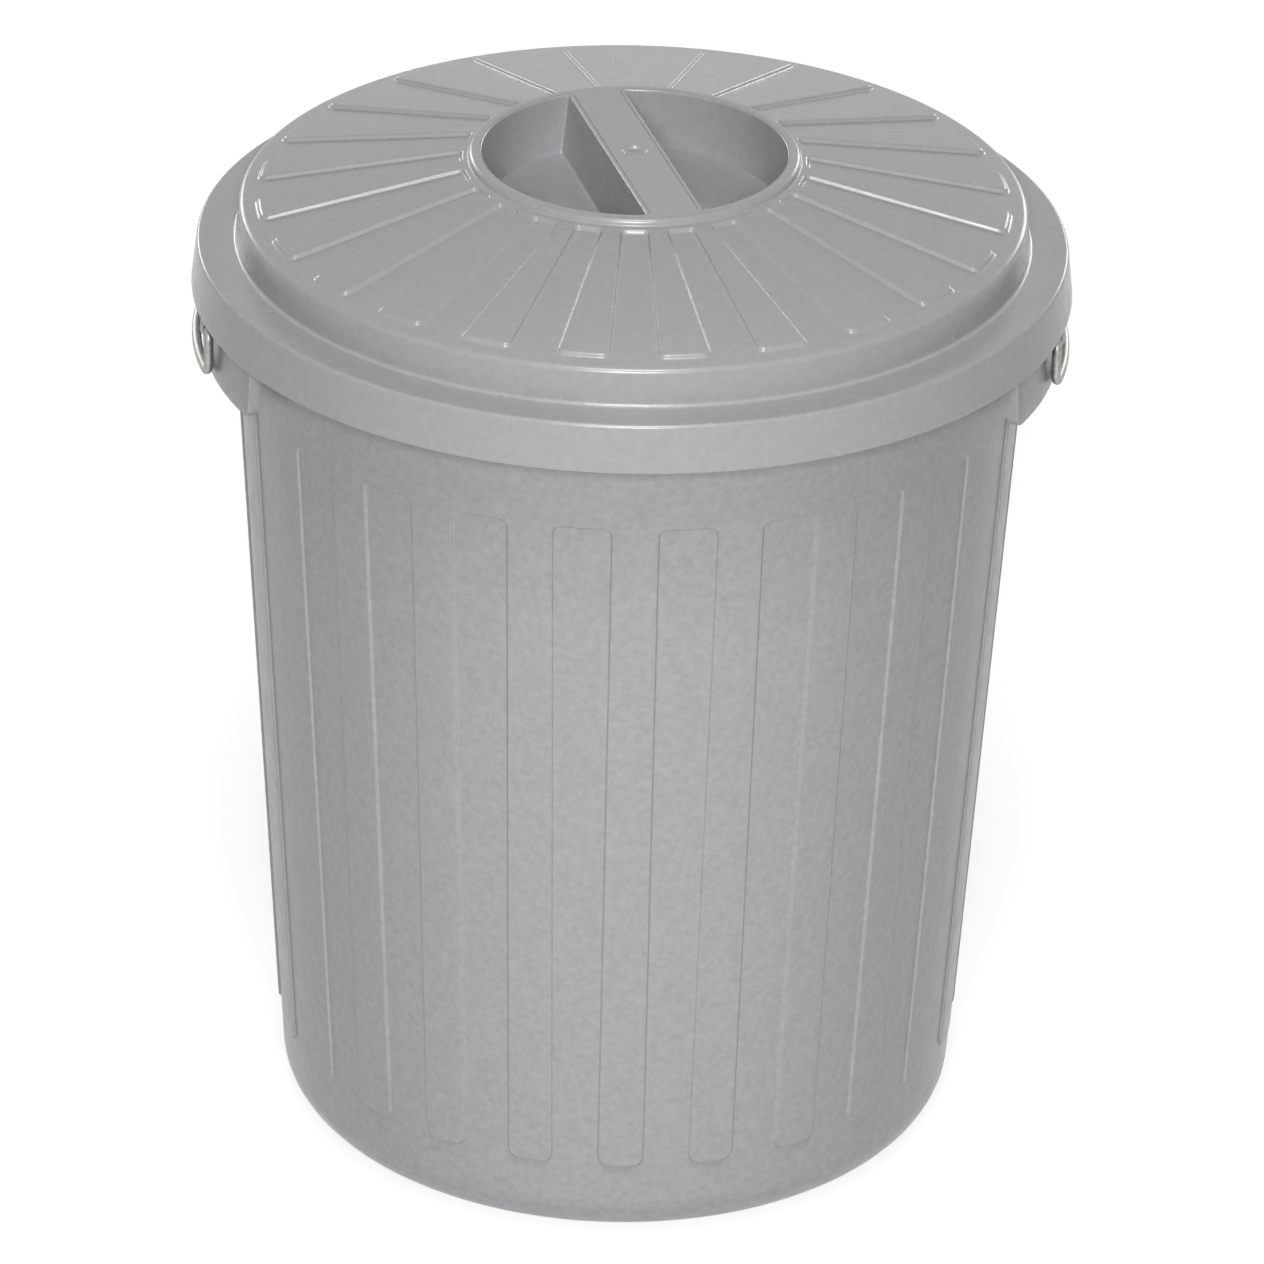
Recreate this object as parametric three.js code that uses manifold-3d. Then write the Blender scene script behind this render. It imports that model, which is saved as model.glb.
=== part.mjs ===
// A round moulded bin with a lift-off lid and two wire bail handles.
// Millimetres, +Z up. The origin is on the floor, on the bin's axis.
// The handles are at -X and +X, and -Y is the side that faces the viewer.

import * as THREE from "three";
import { mergeVertices } from "three/addons/utils/BufferGeometryUtils.js";
import Module from "manifold-3d";

// ---------------------------------------------------------------- driving dimensions

const facets = 72; // flats round every turned surface, three to each rib
const wall = 2.4; // thickness of both mouldings
const overlap = 1.0; // how far joined shapes run into each other
const beyond = 20; // how far cutting shapes reach past what they cut

// Body
const rimHeight = 476.7; // top of the body, on which the lid sits
const rimRadius = 201.0; // outside of the wall at the rim
const narrowing = 27.1; // how much less the same cone measures at the floor
const footRadius = rimRadius - narrowing;
const footRounding = 24;
const footWidth = 7; // ring that touches the floor
const footDepth = 2.4; // how far the base is raised inside that ring
const baseThickness = 2.6;

// Upright ribs round the body, with sunk flutes between them
const ribCount = 24;
const ribRelief = 1.3;
const ribWidth = 22.8;
const ribFootHeight = 44.5; // where the ribs end above the floor
const ribFootRounding = 6;
const plainBand = 62.9; // from the rim down to the tops of the flutes
const fluteTopHeight = rimHeight - plainBand;
const fluteTopRounding = 4.5;

// Turned-down collar under the rim, with a longer apron below each handle
const skirtDepth = 21.7; // from the rim to the edge of the lid's skirt, which hides the collar
const collarReach = 10.8; // from the wall to the outside of the collar, at the rim
const collarRise = 2; // from the skirt's edge up to the collar's
const collarDepth = skirtDepth - collarRise;
const collarDraft = THREE.MathUtils.degToRad(2.6);
const collarWall = 2.2;
const apronDrop = 52.7; // from the rim to the bottom of the apron
const apronHalfWidth = 100.8;
const apronRounding = 9;
const apronLip = 6.5; // turned-in edge of the apron

// Wire handles
const wireDiameter = 4.8;
const wireSides = 8;
const wireSteps = 56;
const bendSteps = 3;
const handleHalfSpan = 58; // from the middle of the handle to its legs
const handleGap = 0.9; // least space between a hanging leg and the apron
const bossRadius = 4.5;
const bossGap = 0.5; // between the bosses and the level of the skirt's edge
const pivotDrop = skirtDepth + bossGap + bossRadius; // from the rim to the pivot
const gripRise = 3.6; // from the apron's foot to the middle of the grip
const handleDrop = apronDrop - gripRise - pivotDrop; // from the pivot to the middle of the grip
const gripBend = 7;
const pinBend = 4.5;
const pinLength = 12; // the turned-in ends, from the leg to the tip
const bossLength = 8.5;
const bossEndGap = 0.6; // between a boss and the start of the wire's bend
const bossSides = 16;
const boreClearance = 0.35;

// Lid
const seatGap = 0.3; // between the rim and the ledge that rests on it
const skirtGap = 2.8; // between the collar and the inside of the skirt, at the rim
const ledgeRadius = rimRadius + collarReach + skirtGap + wall;
const ledgeFall = 0.7;
const skirtFlare = 3.0;
const skirtRadius = ledgeRadius + skirtFlare; // widest part of the bin, at the skirt's edge
const mouthRadius = rimRadius - ribRelief - wall;
const spigotClearance = 1.3; // between the lid's spigot and the body's mouth
const spigotRadius = mouthRadius - spigotClearance;
const spigotDepth = 8.7; // below the rim
const crownRadius = spigotRadius; // edge of the sloping top
const crownHeight = 18.5; // of the upright band, above the ledge
const crownDraft = 1.6;
const topSlope = 0.19;

// Hub of the lid: a ring round a sunk cup that a grip bar crosses
const ringOuterRadius = 82.1;
const ringWidth = 6.1;
const ringHeight = 3.4; // above the raised hub
const ringChamfer = 0.6;
const cupRadius = ringOuterRadius - ringWidth; // at the ring
const cupDepth = 29.9;
const cupDraft = THREE.MathUtils.degToRad(7);
const barWidth = 28.5; // at the top
const barDraft = THREE.MathUtils.degToRad(8.6);
const gateRadius = 6.2; // sunk moulding gate in the middle of the bar
const gateDepth = 1.0;

// Raised fingers on the lid, joined round the hub
const fingerCount = 24;
const fingerHeight = 1.8;
const topBorder = 9; // from the fingers' ends to the edge of the sloping top
const fingerEndRadius = crownRadius - topBorder;
const fingerEndWidth = 25.2;
const fingerEndRounding = 3.2;
const hubBorder = 3.9; // from the ring to the roots of the valleys
const valleyRootRadius = ringOuterRadius + hubBorder;
const valleyRootWidth = 13.3;
const valleyRootRounding = 2.2;

// How the lid happens to be turned on the body
const lidTurn = THREE.MathUtils.degToRad(-0.7);
const barTurn = THREE.MathUtils.degToRad(-75); // from the lid's own X axis to the bar

// ---------------------------------------------------------------- materials

const shellMaterial = new THREE.MeshStandardMaterial({ color: 0x9fa0a3, roughness: 0.42, metalness: 0.25 });
const lidMaterial = new THREE.MeshStandardMaterial({ color: 0xa2a3a6, roughness: 0.38, metalness: 0.25 });
const wireMaterial = new THREE.MeshStandardMaterial({ color: 0x8c8d8a, roughness: 0.45, metalness: 0.9 });

// ---------------------------------------------------------------- solids

const wasm = await Module();
wasm.setup();

// A closed geometry as a solid that can be joined and cut.
function solidOf(geometry) {
  const bare = geometry.index ? geometry.toNonIndexed() : geometry.clone();
  bare.deleteAttribute("normal");
  bare.deleteAttribute("uv");
  const merged = mergeVertices(bare, 1e-4);
  const index = merged.index.array;
  const kept = [];
  for (let i = 0; i < index.length; i += 3) {
    const [a, b, c] = [index[i], index[i + 1], index[i + 2]];
    if (a !== b && b !== c && c !== a) kept.push(a, b, c);
  }
  return new wasm.Manifold(
    new wasm.Mesh({
      numProp: 3,
      vertProperties: merged.attributes.position.array,
      triVerts: new Uint32Array(kept),
    }),
  );
}

function meshOf(name, solid, material) {
  const data = solid.getMesh();
  const geometry = new THREE.BufferGeometry();
  geometry.setAttribute("position", new THREE.BufferAttribute(new Float32Array(data.vertProperties), 3));
  geometry.setIndex(new THREE.BufferAttribute(new Uint32Array(data.triVerts), 1));
  geometry.computeVertexNormals();
  const mesh = new THREE.Mesh(geometry, material);
  mesh.name = name;
  return mesh;
}

// A solid of revolution about Z from [radius, height] points. The outline runs
// counterclockwise, up the outside, and a rib's middle falls on the middle of a flat.
function turned(outline) {
  const points = outline.map(([radius, height]) => new THREE.Vector2(radius, height));
  points.push(points[0].clone());
  const geometry = new THREE.LatheGeometry(points, facets);
  geometry.rotateX(Math.PI / 2);
  geometry.rotateZ(Math.PI / facets);
  return solidOf(geometry);
}

// An outline in the plane of the part's X and Y, pushed up from one height to another.
function upright(shape, low, high, curveSegments = 3) {
  const geometry = new THREE.ExtrudeGeometry(shape, { depth: high - low, bevelEnabled: false, curveSegments });
  geometry.translate(0, 0, low);
  return solidOf(geometry);
}

// An outline drawn as (sideways, height) and pushed out along X from one radius to another.
function outward(shape, near, far, curveSegments = 3) {
  const geometry = new THREE.ExtrudeGeometry(shape, { depth: far - near, bevelEnabled: false, curveSegments });
  geometry.translate(0, 0, near);
  const frame = new THREE.Matrix4().makeBasis(
    new THREE.Vector3(0, 1, 0),
    new THREE.Vector3(0, 0, 1),
    new THREE.Vector3(1, 0, 0),
  );
  geometry.applyMatrix4(frame);
  return solidOf(geometry);
}

// The same solid repeated round Z, the first copy half a pitch on from X.
function aroundAxis(solid, count) {
  const copies = [];
  for (let i = 0; i < count; i++) {
    copies.push(solid.rotate([0, 0, (360 / count) * (i + 0.5)]));
  }
  return wasm.Manifold.union(copies);
}

// ---------------------------------------------------------------- body

const bodyTaper = (rimRadius - footRadius) / rimHeight;
const bodyRadius = (height) => footRadius + bodyTaper * height;
const collarRadius = (height) => rimRadius + collarReach + (rimHeight - height) * Math.tan(collarDraft);
const pitchWidth = (radius, count) => (2 * Math.PI * radius) / count;

// Outline of one flute, as wide as the ribs beside it leave. It runs out below the ribs'
// feet, whose corners it rounds off.
function fluteShape() {
  const foot = ribFootHeight;
  const top = fluteTopHeight;
  const halfWidth = (height) => (pitchWidth(bodyRadius(height), ribCount) - ribWidth) / 2;
  const footSide = halfWidth(foot);
  const topSide = halfWidth(top);
  const footRound = ribFootRounding;
  const topRound = fluteTopRounding;
  const shape = new THREE.Shape();
  shape.moveTo(-footSide - footRound, foot - footRound);
  shape.lineTo(footSide + footRound, foot - footRound);
  shape.lineTo(footSide + footRound, foot);
  shape.absarc(footSide + footRound, foot + footRound, footRound, -Math.PI / 2, -Math.PI, true);
  shape.lineTo(topSide, top - topRound);
  shape.absarc(topSide - topRound, top - topRound, topRound, 0, Math.PI / 2, false);
  shape.absarc(-topSide + topRound, top - topRound, topRound, Math.PI / 2, Math.PI, false);
  shape.lineTo(-footSide, foot + footRound);
  shape.absarc(-footSide - footRound, foot + footRound, footRound, 0, -Math.PI / 2, true);
  return shape;
}

// A smooth bucket at the level of the flutes, set in by a given amount.
function bucketForm(inset, base, top) {
  const level = (height) => bodyRadius(height) - ribRelief - inset;
  const rounding = footRounding - inset;
  const bendHeight = base + rounding;
  const outline = [[0, base]];
  const footSteps = 4;
  for (let i = 0; i <= footSteps; i++) {
    const angle = (Math.PI / 2) * (i / footSteps);
    outline.push([
      level(bendHeight) - rounding + rounding * Math.sin(angle),
      bendHeight - rounding * Math.cos(angle),
    ]);
  }
  outline.push([level(top), top]);
  outline.push([0, top]);
  return turned(outline);
}

// The ribs and the plain band above them, which stand out from the flutes.
function ribs() {
  const sunk = (height) => bodyRadius(height) - ribRelief - overlap;
  const sleeve = turned([
    [sunk(ribFootHeight), ribFootHeight],
    [bodyRadius(ribFootHeight), ribFootHeight],
    [rimRadius, rimHeight],
    [sunk(rimHeight), rimHeight],
  ]);
  const flute = outward(fluteShape(), footRadius - 2 * beyond, rimRadius + beyond);
  return sleeve.subtract(aroundAxis(flute, ribCount));
}

// Rim, collar and aprons are one turned section, cut back between the aprons.
function collar() {
  const bottom = rimHeight - apronDrop;
  const under = rimHeight - wall;
  const section = turned([
    [collarRadius(bottom) - collarWall, bottom],
    [collarRadius(bottom), bottom],
    [collarRadius(rimHeight), rimHeight],
    [rimRadius - wall / 2, rimHeight],
    [rimRadius - wall / 2, under],
    [collarRadius(under) - collarWall, under],
  ]);
  const below = turned([
    [0, bottom - overlap],
    [rimRadius + 2 * beyond, bottom - overlap],
    [rimRadius + 2 * beyond, rimHeight - collarDepth],
    [0, rimHeight - collarDepth],
  ]);
  const across = rimRadius + 2 * beyond;
  const spared = outward(apronShape(0), -across, across, 4);
  return section.subtract(below.subtract(spared));
}

// Outline of both aprons seen along X, open into the collar above.
function apronShape(inset) {
  const side = apronHalfWidth - inset;
  const bottom = rimHeight - apronDrop + inset;
  const top = rimHeight - collarDepth + overlap;
  const round = apronRounding - inset;
  const shape = new THREE.Shape();
  shape.moveTo(side, top);
  shape.lineTo(-side, top);
  shape.lineTo(-side, bottom + round);
  shape.absarc(-side + round, bottom + round, round, Math.PI, 1.5 * Math.PI, false);
  shape.absarc(side - round, bottom + round, round, 1.5 * Math.PI, 2 * Math.PI, false);
  shape.lineTo(side, top);
  return shape;
}

// The edge of each apron is turned in toward the wall.
function apronLips() {
  const bottom = rimHeight - apronDrop;
  const top = rimHeight - collarDepth + overlap;
  const ring = turned([
    [collarRadius(bottom) - apronLip, bottom],
    [collarRadius(bottom) - overlap, bottom],
    [collarRadius(top) - overlap, top],
    [collarRadius(top) - apronLip, top],
  ]);
  const across = rimRadius + 2 * beyond;
  const outside = outward(apronShape(0), -across, across, 4);
  const inside = outward(apronShape(collarWall), -across - overlap, across + overlap, 4);
  return ring.intersect(outside.subtract(inside));
}

const pivotHeight = rimHeight - pivotDrop;
const wireRadius = wireDiameter / 2;

// The handle lies on a cylinder round the bin that clears the apron's foot by handleGap.
const handleRadius = collarRadius(pivotHeight - handleDrop) + handleGap + wireRadius;
const pivotReach = Math.sqrt(handleRadius ** 2 - handleHalfSpan ** 2);
const bossOuterEnd = handleHalfSpan - pinBend - bossEndGap;

// A drum along Y round a handle's pivot axis, from |y| = start outward.
function pivotDrum(radius, start, length, side, end) {
  const geometry = new THREE.CylinderGeometry(radius, radius, length, bossSides);
  geometry.translate(side * pivotReach, 0, 0);
  geometry.translate(0, end * (start + length / 2), 0);
  geometry.translate(0, 0, pivotHeight);
  return solidOf(geometry);
}

function bosses() {
  const drums = [];
  const bores = [];
  for (const side of [-1, 1]) {
    for (const end of [-1, 1]) {
      const inner = bossOuterEnd - bossLength;
      drums.push(pivotDrum(bossRadius, inner, bossLength, side, end));
      bores.push(pivotDrum(wireRadius + boreClearance, inner + wall / 2, bossLength, side, end));
    }
  }
  return [wasm.Manifold.union(drums), wasm.Manifold.union(bores)];
}

function bodySolid() {
  const outside = bucketForm(0, 0, rimHeight).add(ribs());
  const hollow = bucketForm(wall, footDepth + baseThickness, rimHeight + overlap);
  const footInner = bodyRadius(footRounding) - ribRelief - footRounding - footWidth;
  const underBase = turned([
    [0, -overlap],
    [footInner, -overlap],
    [footInner - footDepth, footDepth],
    [0, footDepth],
  ]);
  const [drums, bores] = bosses();
  return outside
    .add(collar())
    .subtract(hollow)
    .subtract(underBase)
    .add(apronLips())
    .add(drums)
    .subtract(bores);
}

// ---------------------------------------------------------------- handles

// Centreline of a handle at the +X side: pin, leg, grip along the round of the bin, leg, pin.
// Each corner is a quarter turn from one direction into the next.
function handlePath() {
  const bottom = pivotHeight - handleDrop;
  const reach = (y) => Math.sqrt(handleRadius ** 2 - y ** 2);
  const half = [];
  half.push(new THREE.Vector3(pivotReach, handleHalfSpan - pinLength, pivotHeight));
  for (let i = 0; i <= bendSteps; i++) {
    const angle = (Math.PI / 2) * (i / bendSteps);
    const y = handleHalfSpan - pinBend + pinBend * Math.sin(angle);
    half.push(new THREE.Vector3(pivotReach, y, pivotHeight - pinBend + pinBend * Math.cos(angle)));
  }
  for (let i = 0; i <= bendSteps; i++) {
    const angle = (Math.PI / 2) * (i / bendSteps);
    const y = handleHalfSpan - gripBend + gripBend * Math.cos(angle);
    half.push(new THREE.Vector3(reach(y), y, bottom + gripBend - gripBend * Math.sin(angle)));
  }
  const gripSpans = 4;
  for (let i = 1; i < gripSpans; i++) {
    const y = (handleHalfSpan - gripBend) * (1 - i / gripSpans);
    half.push(new THREE.Vector3(reach(y), y, bottom));
  }
  const middle = new THREE.Vector3(handleRadius, 0, bottom);
  const mirrored = half.map((p) => new THREE.Vector3(p.x, -p.y, p.z)).reverse();
  return new THREE.CatmullRomCurve3([...half, middle, ...mirrored], false, "centripetal");
}

function handleSolid(side) {
  const section = new THREE.Shape();
  for (let i = 0; i < wireSides; i++) {
    const angle = (2 * Math.PI * i) / wireSides;
    const [x, y] = [wireRadius * Math.cos(angle), wireRadius * Math.sin(angle)];
    if (i === 0) section.moveTo(x, y);
    else section.lineTo(x, y);
  }
  const path = handlePath();
  const geometry = new THREE.ExtrudeGeometry(section, { steps: wireSteps, extrudePath: path, bevelEnabled: false });
  if (side < 0) geometry.rotateZ(Math.PI);
  return solidOf(geometry);
}

// ---------------------------------------------------------------- lid

const ledgeUnder = rimHeight + seatGap;
const ledgeTop = ledgeUnder + wall + ledgeFall;
const crownTop = ledgeTop + crownHeight;
const groundHeight = (radius) => crownTop + topSlope * (crownRadius - radius);
const raisedHeight = (radius) => groundHeight(radius) + fingerHeight;
const ringTop = raisedHeight(ringOuterRadius) + ringHeight;
const cupFloor = ringTop - cupDepth;
const cupRadiusAt = (height) => cupRadius - (ringTop - height) * Math.tan(cupDraft);

// One section turned round the axis: cup, ring, top, upright band, ledge, skirt and spigot.
function lidShell() {
  const skirtEdge = rimHeight - skirtDepth;
  const spigotEnd = rimHeight - spigotDepth;
  const hubHeight = raisedHeight(ringOuterRadius);
  const underRing = cupRadius + wall;
  return turned([
    [0, cupFloor - wall],
    [cupRadiusAt(cupFloor) + wall, cupFloor - wall],
    [underRing, groundHeight(underRing) - wall],
    [crownRadius - wall, groundHeight(crownRadius - wall) - wall],
    [spigotRadius - wall, ledgeUnder],
    [spigotRadius - wall, spigotEnd],
    [spigotRadius, spigotEnd],
    [spigotRadius, ledgeUnder],
    [ledgeRadius - wall, ledgeUnder],
    [skirtRadius - wall, skirtEdge],
    [skirtRadius, skirtEdge],
    [ledgeRadius, ledgeTop - ledgeFall],
    [crownRadius + crownDraft, ledgeTop],
    [crownRadius, crownTop],
    [ringOuterRadius + ringChamfer, groundHeight(ringOuterRadius + ringChamfer)],
    [ringOuterRadius + ringChamfer, hubHeight],
    [ringOuterRadius, ringTop - ringChamfer],
    [ringOuterRadius - ringChamfer, ringTop],
    [cupRadius, ringTop],
    [cupRadiusAt(cupFloor), cupFloor],
    [0, cupFloor],
  ]);
}

// Plan outline of one valley between two fingers, open past the fingers' ends.
function valleyShape() {
  const rootSide = valleyRootWidth / 2;
  const endSide = (pitchWidth(fingerEndRadius, fingerCount) - fingerEndWidth) / 2;
  const endCorner = fingerEndRadius - fingerEndRounding;
  const shape = new THREE.Shape();
  shape.moveTo(valleyRootRadius, -rootSide + valleyRootRounding);
  shape.quadraticCurveTo(valleyRootRadius, -rootSide, valleyRootRadius + valleyRootRounding, -rootSide);
  shape.lineTo(endCorner, -endSide);
  shape.quadraticCurveTo(fingerEndRadius, -endSide, fingerEndRadius, -endSide - fingerEndRounding);
  shape.lineTo(fingerEndRadius + fingerEndRounding, -endSide - fingerEndRounding);
  shape.lineTo(fingerEndRadius + fingerEndRounding, endSide + fingerEndRounding);
  shape.lineTo(fingerEndRadius, endSide + fingerEndRounding);
  shape.quadraticCurveTo(fingerEndRadius, endSide, endCorner, endSide);
  shape.lineTo(valleyRootRadius + valleyRootRounding, rootSide);
  shape.quadraticCurveTo(valleyRootRadius, rootSide, valleyRootRadius, rootSide - valleyRootRounding);
  return shape;
}

// The raised level: a sloping disc round the ring, cut by the valleys.
function fingers() {
  const inner = ringOuterRadius - overlap;
  const disc = turned([
    [inner, groundHeight(inner) - overlap],
    [fingerEndRadius, groundHeight(fingerEndRadius) - overlap],
    [fingerEndRadius, raisedHeight(fingerEndRadius)],
    [inner, raisedHeight(inner)],
  ]);
  const valley = upright(valleyShape(), crownTop - beyond, ringTop + beyond, 2);
  return disc.subtract(aroundAxis(valley, fingerCount).rotate([0, 0, 180 / fingerCount]));
}

// The grip bar's cross-section, set in by a given amount, from one height to another.
function barShape(inset, low, high) {
  const halfWidth = (height) => barWidth / 2 + (ringTop - height) * Math.tan(barDraft) - inset;
  const shape = new THREE.Shape();
  shape.moveTo(-halfWidth(low), low);
  shape.lineTo(halfWidth(low), low);
  shape.lineTo(halfWidth(high), high);
  shape.lineTo(-halfWidth(high), high);
  return shape;
}

// A cone that fits the cup, widened by grow, to trim the bar and its hollow.
function cupCone(grow, low, high) {
  return turned([
    [0, low],
    [cupRadiusAt(low) + grow, low],
    [cupRadiusAt(high) + grow, high],
    [0, high],
  ]);
}

function lidSolid() {
  const floorUnder = cupFloor - wall;
  const reach = cupRadius + beyond;
  const turn = THREE.MathUtils.radToDeg(barTurn);
  const bar = outward(barShape(0, cupFloor - overlap, ringTop), -reach, reach)
    .rotate([0, 0, turn])
    .intersect(cupCone(overlap, floorUnder + overlap / 2, ringTop));
  const hollow = outward(barShape(wall, floorUnder - overlap, ringTop - wall), -reach, reach)
    .rotate([0, 0, turn])
    .intersect(cupCone(wall + overlap, floorUnder - 2 * overlap, ringTop));
  const gate = turned([
    [0, ringTop - gateDepth],
    [gateRadius - gateDepth, ringTop - gateDepth],
    [gateRadius + overlap, ringTop + overlap],
    [0, ringTop + overlap],
  ]);
  return lidShell()
    .add(fingers())
    .add(bar)
    .subtract(hollow)
    .subtract(gate)
    .rotate([0, 0, THREE.MathUtils.radToDeg(lidTurn)]);
}

// ---------------------------------------------------------------- assembly

const bin = new THREE.Group();
bin.add(meshOf("body", bodySolid(), shellMaterial));
bin.add(meshOf("lid", lidSolid(), lidMaterial));
bin.add(meshOf("handle_left", handleSolid(-1), wireMaterial));
bin.add(meshOf("handle_right", handleSolid(1), wireMaterial));

export default bin;
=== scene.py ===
"""Looks of a round moulded bin with a lift-off lid and two wire bail handles."""

import math

import bmesh
import bpy
from mathutils import Matrix, Vector


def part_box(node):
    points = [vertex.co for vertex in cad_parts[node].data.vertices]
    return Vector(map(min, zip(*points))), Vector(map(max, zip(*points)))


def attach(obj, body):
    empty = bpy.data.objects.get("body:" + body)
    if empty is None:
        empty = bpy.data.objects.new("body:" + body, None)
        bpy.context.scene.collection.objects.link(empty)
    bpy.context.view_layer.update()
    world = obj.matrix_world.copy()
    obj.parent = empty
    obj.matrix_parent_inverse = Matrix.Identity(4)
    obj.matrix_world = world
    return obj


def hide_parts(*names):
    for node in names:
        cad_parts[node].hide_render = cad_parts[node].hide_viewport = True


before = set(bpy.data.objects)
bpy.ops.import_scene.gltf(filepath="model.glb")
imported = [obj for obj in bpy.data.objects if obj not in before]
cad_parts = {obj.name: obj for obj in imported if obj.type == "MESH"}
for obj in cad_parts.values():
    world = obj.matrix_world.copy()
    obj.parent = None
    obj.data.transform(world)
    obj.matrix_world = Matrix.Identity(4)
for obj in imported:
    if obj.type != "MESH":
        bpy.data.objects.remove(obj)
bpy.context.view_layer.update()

# ------------------------------------------------------------------ sizes in millimetres

MM = 0.001
body_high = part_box("body")[1] / MM
lid_low, lid_high = (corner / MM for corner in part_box("lid"))

SECTORS = 24  # ribs round the body, and fingers round the lid
COLUMNS = 8  # flats across each sector
DRAWN_WIDTH = 1.3  # a relief's drawing, in sectors: trimming then leaves both sides alike
LINE_WIDTH = 1.1  # where the outline's end corners lie, in sectors
EASE = 0.7  # how close a support line lies to a rounded edge
MERGE = 0.002  # points closer than this are one point
SHARP_ANGLE = math.radians(42)

# Body
RIM_HEIGHT = body_high.z
RIM_RADIUS = 201.0
FOOT_RADIUS = 173.9
FOOT_ROUNDING = 24.0
FOOT_WIDTH = 7.0
FOOT_DEPTH = 2.4
BASE_TOP = 5.0
WALL = 2.4
RIB_RELIEF = 1.3
RIB_HALF_WIDTH = 11.4
RIB_FOOT = 44.5
RIB_FOOT_ROUNDING = 6.0
RIB_PATTERN_FOOT = 30.0
RIB_PATTERN_TOP = 466.0
RIB_ROWS = (140, 230, 320)  # level cuts that keep the ribs' long faces even
FLUTE_TOP = 413.8
FLUTE_TOP_ROUNDING = 4.5
RIB_DRAFT = 0.45  # how far the ribs' sides slope
RIB_FILLET = 0.6

# Collar under the rim, with an apron below each handle
COLLAR_REACH = 10.8
COLLAR_DEPTH = 19.7
COLLAR_DRAFT = math.radians(2.6)
COLLAR_WALL = 2.2
COLLAR_JOIN = 5.5  # how far below the rim the turned rim passes into the collar
APRON_DROP = 52.7
APRON_HALF_LENGTH = 105.0  # along the round of the bin
APRON_ROUNDING = 4.5
APRON_TOP_ROUNDING = 2.5
APRON_LIP = 6.5  # how far its hem turns in towards the wall
APRON_LIP_ROUNDING = 1.1

# Handles
WIRE_RADIUS = 2.4
HANDLE_HALF_SPAN = 58.0
HANDLE_GAP = 0.9
HANDLE_DROP = 22.4
PIVOT_DROP = 26.7
GRIP_BEND = 7.0
PIN_BEND = 4.5
PIN_LENGTH = 12.0
BOSS_RADIUS = 4.5
BOSS_LENGTH = 8.5
BOSS_WALL = 1.2
BOSS_SET_IN = 0.6  # from the wire's bend to the boss
BOSS_ROUNDING = 0.5
BORE_RADIUS = 2.75

# Lid
SKIRT_EDGE = lid_low.z
SKIRT_RADIUS = lid_high.x
RING_TOP = lid_high.z
SEAT_GAP = 0.3
LEDGE_RADIUS = 217.0
LEDGE_FALL = 0.7
CROWN_RADIUS = 196.0
CROWN_HEIGHT = 18.5
CROWN_DRAFT = 1.6
TOP_SLOPE = 0.19
SPIGOT_RADIUS = 196.0
SPIGOT_DEPTH = 8.7
FINGER_HEIGHT = 1.8
FINGER_TIP = 187.0
FINGER_TIP_HALF = 12.6
FINGER_TIP_ROUNDING = 3.2
VALLEY_ROOT = 86.0
VALLEY_ROOT_FINGER_HALF = 4.61
VALLEY_ROOT_ROUNDING = 2.2
FINGER_ROWS = (120, 150)
FINGER_DRAFT = 0.8  # how far the fingers' sides slope, and below how far their tips do
FINGER_TIP_DRAFT = 1.35
FINGER_FILLET = 0.75
PATTERN_INNER = 84.2
PATTERN_OUTER = 191.0
RING_RADIUS = 82.1
RING_FOOT_RADIUS = 82.7
CUP_RADIUS = 76.0
CUP_FLOOR_RADIUS = 72.33
CUP_DEPTH = 29.9
BAR_HALF_WIDTH = 14.25
BAR_FOOT_HALF_WIDTH = 18.77
BAR_HOLLOW_HALF_WIDTH = BAR_HALF_WIDTH - WALL + 1.0
BAR_HOLLOW_FOOT_HALF_WIDTH = BAR_FOOT_HALF_WIDTH - WALL + 0.4
CUP_EDGE_ROUNDING = 0.8
CUP_FLOOR_ROUNDING = 1.2
UNDERSIDE_ROUNDING = 0.6
GATE_RADIUS = 6.2
GATE_DEPTH = 1.5
GATE_PATCH = 1.3  # half the square cut out for the dish, in gate radii
LID_TURN = math.radians(-0.7)
BAR_TURN = math.radians(-75.0)
ACROSS_BAR = Vector((-math.sin(BAR_TURN), math.cos(BAR_TURN), 0))


def body_radius(height):
    """Radius of the ribs' faces at a height."""
    return FOOT_RADIUS + (RIM_RADIUS - FOOT_RADIUS) / RIM_HEIGHT * height


def hollow_radius(height):
    """Radius of the smooth inside of the wall."""
    return body_radius(height) - RIB_RELIEF - WALL


def collar_radius(height):
    """Radius of the outside of the collar and the aprons."""
    return RIM_RADIUS + COLLAR_REACH + (RIM_HEIGHT - height) * math.tan(COLLAR_DRAFT)


LEDGE_UNDER = RIM_HEIGHT + SEAT_GAP
LEDGE_TOP = LEDGE_UNDER + WALL + LEDGE_FALL
CROWN_TOP = LEDGE_TOP + CROWN_HEIGHT


def lid_height(radius):
    """Height of the lid's sloping top between the fingers."""
    return CROWN_TOP + TOP_SLOPE * (CROWN_RADIUS - radius)


# ------------------------------------------------------------------ shared shaping


def rounded(corners, steps=4):
    """Corners (across, up, rounding) as a line whose corners are rounded off."""
    line = []
    for i, (across, up, rounding) in enumerate(corners):
        here = Vector((across, up))
        if rounding == 0:
            line.append(here)
            continue
        back = (Vector(corners[i - 1][:2]) - here).normalized()
        ahead = (Vector(corners[i + 1][:2]) - here).normalized()
        half = back.angle(ahead) / 2
        centre = here + (back + ahead).normalized() * rounding / math.sin(half)
        reach = rounding / math.tan(half)
        start = here + back * reach - centre
        end = here + ahead * reach - centre
        line += [centre + rounding * start.slerp(end, k / steps) for k in range(steps + 1)]
    return line


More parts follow.
